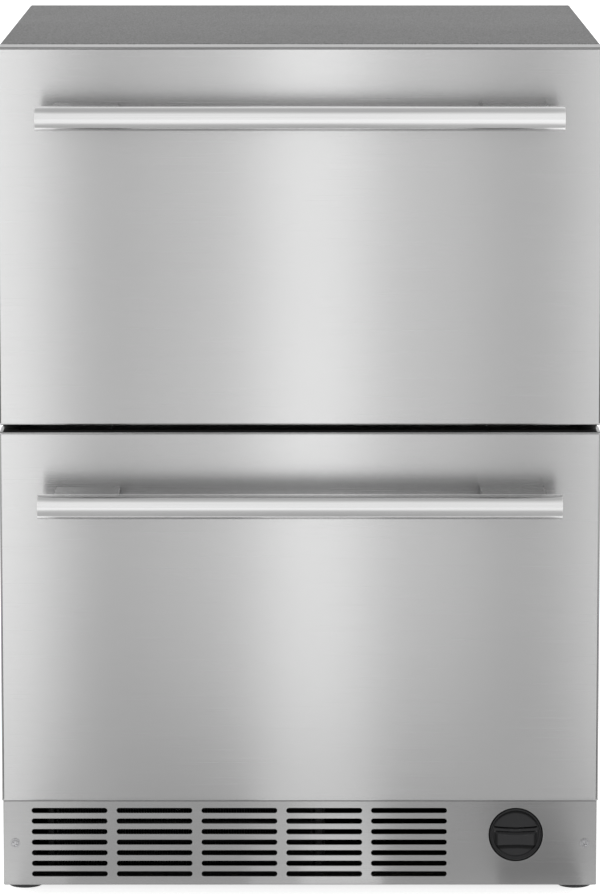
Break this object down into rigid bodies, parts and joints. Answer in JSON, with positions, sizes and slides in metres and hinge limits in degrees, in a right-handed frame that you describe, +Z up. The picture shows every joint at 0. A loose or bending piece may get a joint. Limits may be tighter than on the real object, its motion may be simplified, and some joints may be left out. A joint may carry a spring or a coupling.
{
  "type": "undercounter drawer refrigerator",
  "caption": "Stainless undercounter refrigerator with stacked drawers on telescopic slides, bar handles, and a slotted toe grille with a twist-out water filter.",
  "frame": {"origin": "on the floor under the middle of the overall bounding box, handles included", "axes": "+X to the right seen from the front, +Y to the back, +Z up; the drawers open towards -Y"},
  "size_m": [0.606, 0.6744, 0.871],
  "materials": {
    "stainless": "horizontally brushed stainless steel",
    "handle_steel": "fine brushed stainless steel",
    "speckled_paint": "textured dark grey paint with light speckle",
    "galvanised": "galvanised sheet",
    "black_paint": "satin black paint",
    "zinc": "zinc plated steel",
    "liner_plastic": "thermoformed liner plastic",
    "bin_plastic": "moulded bin plastic",
    "foam": "rigid polyurethane foam",
    "gasket_rubber": "soft vinyl gasket",
    "black_plastic": "moulded black plastic",
    "white_plastic": "moulded white plastic",
    "coil_aluminium": "bare aluminium fins and tubes",
    "copper": "bare copper",
    "rubber_mount": "moulded rubber",
    "lens": "frosted light lens"
  },
  "bodies": {
    "cabinet": {"outer_wrap": "speckled_paint", "rear_panel": "galvanised", "machine_cover": "galvanised", "cabinet_insulation": "foam", "upper_liner": "liner_plastic", "lower_liner": "liner_plastic", "face_frame": "black_paint", "base_pan": "galvanised", "toe_grille": "stainless", "grille_screws": "zinc", "compressor": "black_paint", "compressor_mounts": "rubber_mount", "condenser": "black_paint", "condenser_fan_shroud": "black_plastic", "condenser_fan_motor": "zinc", "filter_drier": "copper", "drain_pan": "black_plastic", "refrigerant_lines": "copper", "evaporator": "coil_aluminium", "evaporator_cover": "liner_plastic", "evaporator_fan_motor": "zinc", "control_panel": "black_plastic", "upper_lamp": "lens", "lower_lamp": "lens", "water_valve": "white_plastic", "power_inlet": "black_plastic", "filter_housing": "white_plastic", "ice_mould": "coil_aluminium", "ice_maker_drive": "white_plastic", "upper_left_fixed_slide": "zinc", "upper_right_fixed_slide": "zinc", "lower_left_fixed_slide": "zinc", "lower_right_fixed_slide": "zinc"},
    "upper_slide_stage": {"upper_middle_slides": "zinc"},
    "lower_slide_stage": {"lower_middle_slides": "zinc"},
    "upper_drawer": {"upper_drawer_slides": "zinc", "upper_front_skin": "stainless", "upper_inner_panel": "liner_plastic", "upper_gasket": "gasket_rubber", "upper_handle_bar": "handle_steel", "upper_handle_posts": "handle_steel", "upper_bin": "bin_plastic"},
    "lower_drawer": {"lower_drawer_slides": "zinc", "lower_front_skin": "stainless", "lower_inner_panel": "liner_plastic", "lower_gasket": "gasket_rubber", "lower_handle_bar": "handle_steel", "lower_handle_posts": "handle_steel", "lower_bin": "bin_plastic", "ice_bin": "bin_plastic"},
    "condenser_fan": {"condenser_fan_blade": "black_plastic"},
    "evaporator_fan": {"evaporator_fan_blade": "white_plastic"},
    "ice_rake": {"ice_ejector": "white_plastic"},
    "filter_valve": {"filter_valve_ring": "white_plastic"},
    "filter": {"filter_cartridge": "white_plastic", "filter_cap": "black_plastic"},
    "left_front_foot": {"left_front_leg": "black_plastic"},
    "right_front_foot": {"right_front_leg": "black_plastic"},
    "left_rear_foot": {"left_rear_leg": "black_plastic"},
    "right_rear_foot": {"right_rear_leg": "black_plastic"}
  },
  "joints": [
    {"name": "upper_drawer_slide", "type": "slide", "parent": "cabinet", "child": "upper_drawer", "axis": [0, -1, 0], "range_m": [0, 0.42]},
    {"name": "upper_stage_slide", "type": "slide", "parent": "cabinet", "child": "upper_slide_stage", "axis": [0, -1, 0], "range_m": [0, 0.21]},
    {"name": "lower_drawer_slide", "type": "slide", "parent": "cabinet", "child": "lower_drawer", "axis": [0, -1, 0], "range_m": [0, 0.3]},
    {"name": "lower_stage_slide", "type": "slide", "parent": "cabinet", "child": "lower_slide_stage", "axis": [0, -1, 0], "range_m": [0, 0.15]},
    {"name": "condenser_fan_spin", "type": "hinge", "parent": "cabinet", "child": "condenser_fan", "pos_m": [-0.119, -0.17275, 0.0575], "axis": [0, 1, 0], "continuous": true},
    {"name": "evaporator_fan_spin", "type": "hinge", "parent": "cabinet", "child": "evaporator_fan", "pos_m": [0, 0.13025, 0.422], "axis": [0, 1, 0], "continuous": true},
    {"name": "ice_rake_spin", "type": "hinge", "parent": "cabinet", "child": "ice_rake", "pos_m": [-0.1, 0.03225, 0.424], "axis": [1, 0, 0], "continuous": true},
    {"name": "filter_turn", "type": "hinge", "parent": "cabinet", "child": "filter_valve", "pos_m": [0.2198, 0, 0.0673], "axis": [0, -1, 0], "range_deg": [0, 90]},
    {"name": "filter_pull", "type": "slide", "parent": "filter_valve", "child": "filter", "axis": [0, -1, 0], "range_m": [0, 0.24]},
    {"name": "left_front_foot_height", "type": "slide", "parent": "cabinet", "child": "left_front_foot", "axis": [0, 0, -1], "range_m": [0, 0.025]},
    {"name": "right_front_foot_height", "type": "slide", "parent": "cabinet", "child": "right_front_foot", "axis": [0, 0, -1], "range_m": [0, 0.025]},
    {"name": "left_rear_foot_height", "type": "slide", "parent": "cabinet", "child": "left_rear_foot", "axis": [0, 0, -1], "range_m": [0, 0.025]},
    {"name": "right_rear_foot_height", "type": "slide", "parent": "cabinet", "child": "right_rear_foot", "axis": [0, 0, -1], "range_m": [0, 0.025]}
  ],
  "couplings": [
    {"joint": "upper_stage_slide", "follows": "upper_drawer_slide", "ratio": 0.5},
    {"joint": "lower_stage_slide", "follows": "lower_drawer_slide", "ratio": 0.5}
  ]
}
